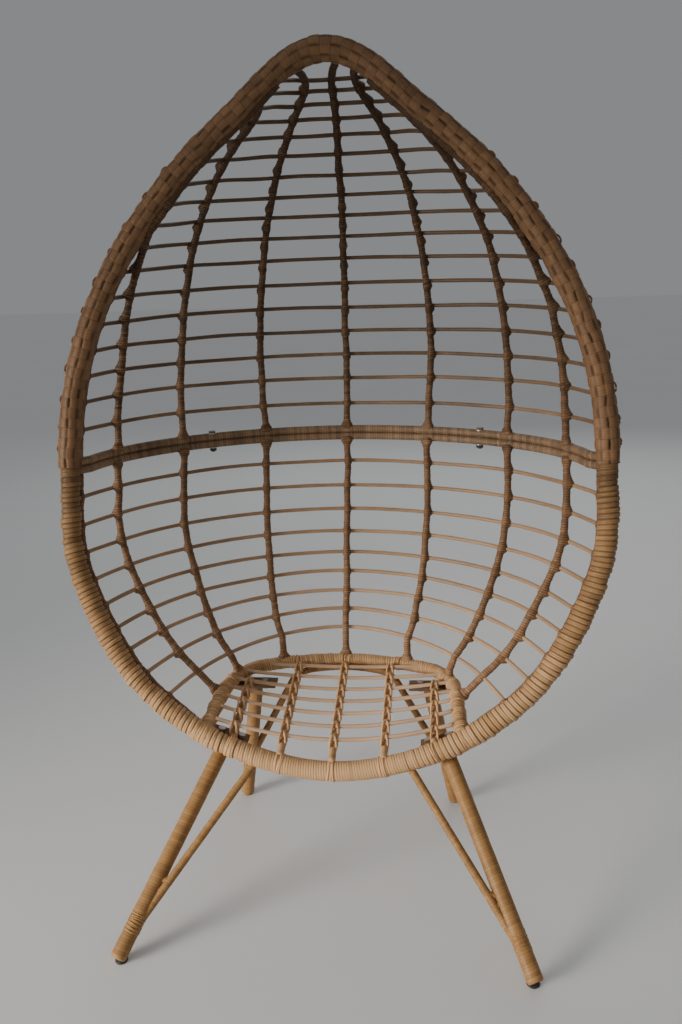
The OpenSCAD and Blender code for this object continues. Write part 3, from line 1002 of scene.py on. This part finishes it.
class EggChairRails(bpy.types.Operator):
    """Wrap the pair of rails round the shell's waist"""

    bl_idname = "egg_chair.rails"
    bl_label = "Middle Rails"

    def execute(self, context):
        end = (half_width(SPLIT_HEIGHT) - 8, lean(SPLIT_HEIGHT) + 6)
        angles = np.linspace(84, 0, RAIL_POINTS)
        for node, z in (("upper_mid_rail", RAIL_RADIUS), ("lower_mid_rail", -RAIL_RADIUS)):
            half = shell_point(SPLIT_HEIGHT, angles, 0, 1)
            half = np.concatenate([[(*end, 0)], half])
            half[:, 2] = SPLIT_HEIGHT + z
            route = Route(mirrored(half))
            middle = route.length / 2
            reaches = middle - route.stations[RAIL_POINTS:0:-1]
            arc = np.interp(RIB_ANGLES[::-1], angles[::-1], reaches)
            lashings = [middle + sign * reach for reach in arc for sign in (-1, 1)]
            section = RailWinding(RAIL_RADIUS, pitch=5.2, relief=0.35, seed=61, knots=lashings)
            wrap_node(node, route, section, "cane_rod", sides=20)
        return {"FINISHED"}


class EggChairRods(bpy.types.Operator):
    """Draw the side rods and the rungs of the shell"""

    bl_idname = "egg_chair.rods"
    bl_label = "Side Rods and Rungs"

    def execute(self, context):
        seed = 100
        for word, side in SIDES.items():
            rise = np.sin(np.linspace(0, TOP, ROD_POINTS))
            shift = np.array((side, 1, 1)) * ROD_SHIFT
            above = SPLIT_HEIGHT + 2 + (ROD_TOP - SPLIT_HEIGHT) * rise
            below = SPLIT_HEIGHT - 2 - (SPLIT_HEIGHT - ROD_FOOT) * rise
            upper = shell_point(above, 90, 0, side) + shift
            lower = shell_point(below, 90, 0, side) + shift
            corner = (side * SEAT_ROUTE[0][0], SEAT_ROUTE[0][1] + 4, SEAT_HEIGHT - CORNER_DROP + 4)
            lower = np.concatenate([lower, [corner]])
            for part, line in (("upper", upper), ("lower", lower)):
                seed += 1
                route = Route(line, (0, 1, 0))
                order = np.argsort(line[:, 2])
                knots = np.interp(RUNG_HEIGHTS[part], line[order, 2], route.stations[order])
                section = RibWinding(
                    SIDE_ROD_RADIUS + ROD_STRAND, CLOSE_PITCH, relief=0.6, seed=seed,
                    knots=knots, girth=2.2,
                )
                wrap_node(f"{part}_side_rod_{word}", route, section, "rib_rattan", sides=16)
        for part, groups in RUNGS.items():
            for letter, heights in groups.items():
                meshes = []
                for z in heights:
                    seed += 1
                    angles = np.linspace(90, 0, 60)
                    outset = RUNG_OUTSET * np.minimum(1, 3 * np.cos(np.radians(angles)))
                    bend = np.maximum(0, (angles - ROD_BEND) / (90 - ROD_BEND))[:, None] ** 2
                    line = mirrored(shell_point(z, angles, outset, 1) + bend * ROD_SHIFT)
                    run = np.arange(len(line)) * 12.0
                    line[:, 2] += 1.2 * ripple(run, seed, 150.0)
                    section = SmoothRod(RUNG_RADIUS + ROD_STRAND, seed)
                    meshes.append(tube(Route(line), section, sides=12))
                node = f"{part}_rungs_{letter}"
                make_piece(f"{node}_cane", meshes, "cane_rod", node)
        return {"FINISHED"}


class SlatWinding(Winding):
    """Close winding with a swelling under every rod and a gap in front of it, darkened as painted
    shadow.
    """

    lump = 0.4

    def __call__(self, run, turn, lag):
        radius, shade, recess = super().__call__(run, turn, lag)
        gap = nearest(run, self.knots)
        off_top = np.abs(turn - TOP)
        opening = 0.15 + 0.55 * clamp((-3.0 - gap) / 8.0)
        inside = (gap < -2.5) & (gap > -11.5)
        hole = np.where(inside, clamp((opening - off_top) / 0.2), 0)
        radius = radius + 1.2 * bump(gap, 7.0, 9.0) - 1.5 * hole
        # painted shadow in the hole in front of each rod
        return radius, shade, clamp(recess + hole)


class SeatFrameWinding(Winding):
    """Close winding of the seat frame, swelling where the end of a rod is bound in."""

    bands = 0.5
    wave = 0.5
    lump = 0.6

    def __call__(self, run, turn, lag):
        radius, shade, recess = super().__call__(run, turn, lag)
        gap = np.abs(nearest(run, self.knots))
        # painted shade along the edges of each binding
        edge = bump(gap - 9.0, 1.5)
        return radius + 1.3 * bump(gap, 7.0), shade, clamp(recess + 0.4 * edge)


class EggChairSeat(bpy.types.Operator):
    """Make the seat: wound frame, lashed slats, bowed rods and the bent bar under the back"""

    bl_idname = "egg_chair.seat"
    bl_label = "Seat"

    def execute(self, context):
        half = [(x, y, SEAT_HEIGHT - side_drop(y)) for x, y in SEAT_ROUTE]
        line = smooth_route(mirrored(half), 16)
        route = Route(line)
        first_side = slice(FRAME_SIDE_POINTS)

        def both_sides(places):
            """Stations of the frame's two sides at some places in Y."""
            ends = np.interp(places, line[first_side, 1], route.stations[first_side])
            return [*ends, *(route.length - ends)]

        lashings = both_sides(SEAT_ROD_PLACES[:5])
        section = SeatFrameWinding(
            SEAT_FRAME_RADIUS, pitch=5.0, relief=0.9, seed=71, knots=lashings
        )
        wrap_node("seat_frame", route, section, "wrapped_rattan", sides=28)
        rng = np.random.default_rng(3)
        loops = []
        seats = both_sides([y for _, y in RIB_SEATS[:3]])
        for station in (*lashings, *seats, route.length / 2):
            for step in LASHING_STEPS:
                place = (station + step, SEAT_FRAME_RADIUS + rng.uniform(-0.4, 0.8))
                lay = (rng.uniform(-4, 4), rng.uniform(0, 6))
                loops.append(collar(route, *place, LASHING_STRAND, *lay, len(loops)))

        meshes = []
        lift = SLAT_RADIUS + SEAT_ROD_RADIUS - 1
        for front, back in SLATS:
            for side in (-1, 1) if front[0] else (1,):
                rows = np.array([y for y in SEAT_ROD_PLACES if y < back[1] - 4])
                share = (rows - front[1]) / (back[1] - front[1])
                route = Route(straight(*np.array((front, back), float) * (side, 1, 1), 60))
                knots = share * route.length
                section = SlatWinding(
                    SLAT_RADIUS, pitch=4.0, relief=0.5, seed=80 + len(meshes), knots=knots
                )
                meshes.append(tube(route, section, sides=28))
                for y, part in zip(rows, share):
                    x = side * front[0]
                    rod = seat_level(x, y) + lift
                    slat = front[2] + (back[2] - front[2]) * part
                    for arm in (-1, 1):
                        points = [
                            (x + 6.4 * arm, y - 12, slat + 1), (x + 5.2 * arm, y - 6, rod),
                            (x + 3.2 * arm, y - 1, rod + 5), (x + 0.8 * arm, y + 5, rod + 3),
                            (x - 1.5 * arm, y + 10, slat + 5),
                        ]
                        loops.append(strand_loop(points, SLAT_LASHING_STRAND, len(loops)))
        make_piece("seat_slats_wrap", meshes, "wrapped_rattan", "seat_slats")
        make_piece("seat_lashings", loops, "wrapped_rattan")

        for node, first, last in (("seat_rods_front", 0, 4), ("seat_rods_back", 4, 7)):
            meshes = []
            for row in range(first, last):
                y = SEAT_ROD_PLACES[row]
                reach = SEAT_HALF_WIDTH - SEAT_ROD_INSETS[row]
                x = np.linspace(-reach, reach, 61)
                line = np.stack([x, y + 0 * x, seat_level(x, y) + lift], -1)
                section = SmoothRod(SEAT_ROD_RADIUS, seed=300 + row)
                meshes.append(tube(Route(line), section, sides=12))
            make_piece(f"{node}_cane", meshes, "cane_rod", node)

        route = Route(smooth_route(mirrored(ARCH_ROUTE), 12))
        section = Winding(BRACE_RADIUS, pitch=4.8, relief=0.6, seed=91)
        wrap_node("rear_arch", route, section, "leg_rattan", sides=20)
        return {"FINISHED"}


class LegWinding(Winding):
    """Fine winding of a leg, drawn in at its lower end."""

    def __call__(self, run, turn, lag):
        radius, shade, recess = super().__call__(run, turn, lag)
        radius = radius - 2.2 * clamp((5.0 - run) / 5.0) ** 2
        return radius, np.clip(shade + 1.1 * bump(run, 5.0), 0, 1.6), recess


def leg_point(place, z):
    """Point of a leg's axis at a height."""
    bend, end = np.array(place["bend"], float), np.array(place["end"], float)
    return end + (bend - end) * (z - end[2]) / (bend[2] - end[2])


class EggChairLegs(bpy.types.Operator):
    """Wrap the four legs and their braces"""

    bl_idname = "egg_chair.legs"
    bl_label = "Legs and Braces"

    def execute(self, context):
        pitch = sizes().leg_strand / MM
        seed = 200
        for row, place in LEGS.items():
            top, normal, bend, end = (
                np.array(place[key], float) for key in ("top", "normal", "bend", "end")
            )
            joint = leg_point(place, place["joint"]) - (place["inset"], 0, 0)
            run = np.array(place["brace"], float) - joint
            for word, side in SIDES.items():
                seed += 5
                mirror = np.array((side, 1, 1), float)
                shaft = straight(end, bend, 50, -0.016)
                line = np.concatenate([shaft, [top - 3 * normal, top]]) * mirror
                section = LegWinding(LEG_RADIUS, pitch, relief=0.25, seed=seed)
                route = Route(line, (0, 1, 0))
                wrap_node(f"{row}_{word}_leg", route, section, "leg_rattan", sides=28)

                meshes = []
                bars = [(joint, joint + run, BRACE_RADIUS)]
                for z, share in place["webs"]:
                    bars.append((leg_point(place, z), joint + run * share, BRACE_RADIUS - 1))
                for start, stop, radius in bars:
                    seed += 1
                    route = Route(straight(start, stop, 40) * mirror, (0, 1, 0))
                    section = Winding(radius, CLOSE_PITCH, relief=0.5, seed=seed)
                    meshes.append(tube(route, section, sides=18))
                leg = Route(shaft * mirror, (0, 1, 0))
                start = np.linalg.norm(leg_point(place, place["joint"]) - end)
                for k in range(7):
                    station = start + CLOSE_PITCH * (k - 3)
                    loop = (LEG_RADIUS - 1.3, LEG_COLLAR_STRAND)
                    meshes.append(collar(leg, station, *loop, tilt=2.0, phase=k, seed=k))
                node = f"{row}_{word}_brace"
                make_piece(f"{node}_wrap", meshes, "leg_rattan", node)
        return {"FINISHED"}


class EggChairGlides(bpy.types.Operator):
    """Turn the foot glides"""

    bl_idname = "egg_chair.glides"
    bl_label = "Foot Glides"

    def execute(self, context):
        for row, place in LEGS.items():
            for word, side in SIDES.items():
                bm = bmesh.new()
                foot = Vector((side * place["glide"][0], place["glide"][1], 0)) * MM
                points = [bm.verts.new(foot + Vector((x, 0, z)) * MM) for x, z in GLIDE_PROFILE]
                edges = [bm.edges.new(pair) for pair in zip(points, points[1:])]
                bmesh.ops.spin(
                    bm, geom=points + edges, cent=foot, axis=(0, 0, 1), angle=FULL_TURN,
                    steps=40, use_merge=True,
                )
                bmesh.ops.remove_doubles(bm, verts=bm.verts, dist=1e-6)
                node = f"{row}_{word}_glide"
                make_piece(f"{node}_cap", [mesh_from(bm, "loose_glide")], "black_cap", node)
        return {"FINISHED"}


class EggChairFittings(bpy.types.Operator):
    """Finish the plates, bolts, washers and nuts"""

    bl_idname = "egg_chair.fittings"
    bl_label = "Fittings"

    def execute(self, context):
        slots = {entry["node"]: entry["material_slot"] for entry in frame["record"]["subparts"]}
        for node, piece in frame["nodes"].items():
            if slots[node] in ("bright_steel", "dark_steel", "black_cap"):
                piece.data.materials.clear()
                piece.data.materials.append(finish_for(slots[node]))
        return {"FINISHED"}


# ---------------- stage

FLOOR_SIZE = 30.0
SKY_COLOUR = (0.80, 0.83, 0.86, 1.0)
SKY_STRENGTH = 0.31
CHAIR_MIDDLE = (0.0, 0.0, 0.75)
AREA_LIGHTS = {
    "window_light": {
        "place": (0.4, 3.2, 2.6), "target": CHAIR_MIDDLE, "size": 3.2, "energy": 26.0,
    },
    "low_light": {
        "place": (-3.3, -2.5, 0.9), "target": (-0.1, -0.2, 0.06), "size": 1.5, "energy": 15.0,
        "spread": math.radians(38.0), "color": (1.0, 0.95, 0.88),
    },
    "right_light": {
        "place": (2.9, -0.8, 1.9), "target": CHAIR_MIDDLE, "size": 2.0, "energy": 5.0,
        "color": (1.0, 0.98, 0.96),
    },
}
SENSOR_WIDTH = 36.0
PICTURE_HEIGHT = 1024
FOCAL_PIXELS = 846.85
CAMERA_PLACE = (0.18249, -1.43198, 1.07599)
CAMERA_TURNS = (("Z", 0.114981), ("X", -0.273904), ("Y", 0.033922), ("X", math.pi / 2))


def add_light(name, kind, place, target, **settings):
    """A light that shines from its place towards a target."""
    lamp = bpy.data.lights.new(name, kind)
    for key, value in settings.items():
        setattr(lamp, key, value)
    light = link(name, lamp)
    light.location = place
    way = Vector(target) - Vector(place)
    light.rotation_euler = way.to_track_quat("-Z", "Y").to_euler()


class EggChairStage(bpy.types.Operator):
    """Set up the pale floor, the soft lights and the camera"""

    bl_idname = "egg_chair.stage"
    bl_label = "Stage"

    def execute(self, context):
        scene = context.scene
        bm = bmesh.new()
        bmesh.ops.create_grid(bm, x_segments=8, y_segments=8, size=FLOOR_SIZE)
        floor = link("floor", mesh_from(bm, "floor"))
        f = Finish("floor")
        tone = scene.egg_chair_colours.floor
        base = f.ramp(f.noise(f.place, 1.3, 5.0), ((0.3, shaded(tone, 0.97)), (0.7, tone)))
        f.feed(Base_Color=base, Roughness=0.62)
        floor.data.materials.append(f.material)

        world = bpy.data.worlds.new("studio")
        world.use_nodes = True
        background = world.node_tree.nodes["Background"]
        background.inputs["Color"].default_value = SKY_COLOUR
        background.inputs["Strength"].default_value = SKY_STRENGTH
        scene.world = world

        for name, settings in AREA_LIGHTS.items():
            add_light(name, "AREA", shape="SQUARE", **settings)
        add_light(
            "sky_light", "SUN", (0, 0, 0), (2.0, 1.2, -3.4), energy=0.2, angle=math.radians(50)
        )

        lens = bpy.data.cameras.new("camera")
        lens.sensor_width = SENSOR_WIDTH
        lens.lens = FOCAL_PIXELS / PICTURE_HEIGHT * SENSOR_WIDTH
        lens.clip_start = 0.02
        camera = link("camera", lens)
        turn = Matrix.Identity(3)
        for axis, angle in CAMERA_TURNS:
            turn = turn @ Matrix.Rotation(angle, 3, axis)
        camera.matrix_world = Matrix.Translation(CAMERA_PLACE) @ turn.to_4x4()
        scene.camera = camera
        return {"FINISHED"}


OPERATORS = (
    EggChairUpperRim,
    EggChairLowerRim,
    EggChairRibs,
    EggChairRails,
    EggChairRods,
    EggChairSeat,
    EggChairLegs,
    EggChairGlides,
    EggChairFittings,
    EggChairStage,
)


class EggChairPanel(bpy.types.Panel):
    """Lists the chair's pieces and settings."""

    bl_idname = "VIEW3D_PT_egg_chair"
    bl_label = "Egg Chair"
    bl_space_type = "VIEW_3D"
    bl_region_type = "UI"
    bl_category = "Egg Chair"

    def draw(self, context):
        layout = self.layout
        for group in (context.scene.egg_chair_sizes, context.scene.egg_chair_colours):
            box = layout.box()
            for key in group.bl_rna.properties.keys():
                if key not in ("rna_type", "name"):
                    box.prop(group, key)
        for operator in OPERATORS:
            layout.operator(operator.bl_idname)


CLASSES = (EggChairSizes, EggChairColours, *OPERATORS, EggChairPanel)


def register():
    for cls in CLASSES:
        bpy.utils.register_class(cls)
    bpy.types.Scene.egg_chair_sizes = PointerProperty(type=EggChairSizes)
    bpy.types.Scene.egg_chair_colours = PointerProperty(type=EggChairColours)


def unregister():
    del bpy.types.Scene.egg_chair_colours
    del bpy.types.Scene.egg_chair_sizes
    for cls in reversed(CLASSES):
        bpy.utils.unregister_class(cls)


def main():
    register()
    for operator in OPERATORS:
        group, action = operator.bl_idname.split(".")
        getattr(getattr(bpy.ops, group), action)()


if __name__ == "__main__":
    main()
